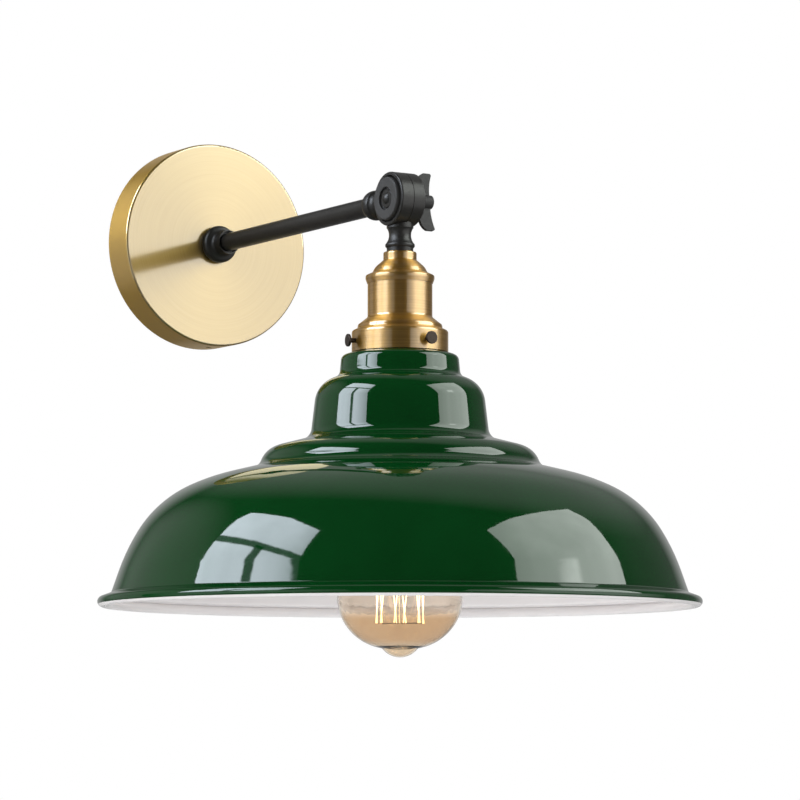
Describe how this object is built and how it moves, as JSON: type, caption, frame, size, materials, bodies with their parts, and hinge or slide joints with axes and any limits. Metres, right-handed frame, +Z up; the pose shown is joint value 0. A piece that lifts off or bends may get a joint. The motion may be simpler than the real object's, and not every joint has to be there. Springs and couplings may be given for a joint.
{
  "type": "industrial wall light",
  "caption": "Wall light with a round brass canopy, black arm, tilting knuckle with wing nut, stepped green enamel dome shade and a drop-shaped filament bulb.",
  "frame": {"origin": "centre of the wall mount, on the wall plane", "axes": "+Z up, +Y into the wall, the arm stands out along -Y, +X to the side of the wing nut"},
  "size_m": [0.3102, 0.3728, 0.2951],
  "materials": {
    "canopy_brass": "satin brushed",
    "aged_brass": "brushed, antique",
    "black_paint": "satin",
    "dark_bronze": "satin",
    "green_enamel": "gloss enamel, white inside",
    "zinc_steel": "zinc plated",
    "earth_green": "green plated",
    "fibre": "matt",
    "porcelain": "glazed",
    "contact_brass": "plain",
    "black_glass": "opaque black",
    "amber_glass": "clear, tinted",
    "clear_glass": "clear",
    "wire_steel": "plain",
    "glow": "glowing"
  },
  "bodies": {
    "base": {"wall_bracket": "zinc_steel", "earth_screw": "earth_green", "canopy": "canopy_brass", "canopy_screws": "black_paint", "arm_nipple": "zinc_steel", "canopy_washer": "zinc_steel", "canopy_nut": "zinc_steel", "arm_collar": "black_paint", "arm_tube": "black_paint", "arm_ferrule": "black_paint", "knuckle_arm_half": "black_paint", "knuckle_plate": "black_paint", "pivot_bolt": "black_paint", "friction_washer": "fibre"},
    "head": {"knuckle_head_half": "black_paint", "neck_spool": "black_paint", "seat_ring": "black_paint", "socket_cap": "aged_brass", "fitter_cup": "aged_brass", "stem_nuts": "zinc_steel", "holder_strap": "zinc_steel", "holder_screws": "zinc_steel", "lampholder_body": "porcelain", "terminal_screws": "zinc_steel", "lampholder_shell": "contact_brass", "centre_contact": "contact_brass", "shade": "green_enamel"},
    "clamp_washer": {"wing_washer": "black_paint"},
    "clamp_nut": {"wing_nut": "black_paint"},
    "front_screw": {"thumbscrew_front": "dark_bronze"},
    "right_screw": {"thumbscrew_right": "dark_bronze"},
    "left_screw": {"thumbscrew_left": "dark_bronze"},
    "bulb": {"bulb_cap": "contact_brass", "bulb_insulator": "black_glass", "bulb_contact": "contact_brass", "bulb_glass": "amber_glass", "bulb_stem": "clear_glass", "lead_wires": "wire_steel", "filament_hooks": "wire_steel", "filament": "glow"}
  },
  "joints": [
    {"name": "head_tilt", "type": "hinge", "parent": "base", "child": "head", "pos_m": [0, -0.2177, 0], "axis": [-1, 0, 0], "range_deg": [-15, 180]},
    {"name": "clamp_ease", "type": "slide", "parent": "base", "child": "clamp_washer", "axis": [1, 0, 0], "range_m": [0, 0.0007]},
    {"name": "wing_nut_turn", "type": "hinge", "parent": "clamp_washer", "child": "clamp_nut", "pos_m": [0, -0.2177, 0], "axis": [1, 0, 0], "range_deg": [0, 360]},
    {"name": "front_screw_out", "type": "slide", "parent": "head", "child": "front_screw", "axis": [0.0332, -0.9995, 0], "range_m": [0, 0.0025]},
    {"name": "right_screw_out", "type": "slide", "parent": "head", "child": "right_screw", "axis": [0.7513, 0.66, 0], "range_m": [0, 0.0025]},
    {"name": "left_screw_out", "type": "slide", "parent": "head", "child": "left_screw", "axis": [-0.9869, 0.1616, 0], "range_m": [0, 0.0025]},
    {"name": "bulb_out", "type": "slide", "parent": "head", "child": "bulb", "axis": [0, 0, -1], "range_m": [0, 0.125]}
  ],
  "couplings": [
    {"joint": "clamp_ease", "follows": "wing_nut_turn", "m_per_rad": 0.00011141}
  ]
}
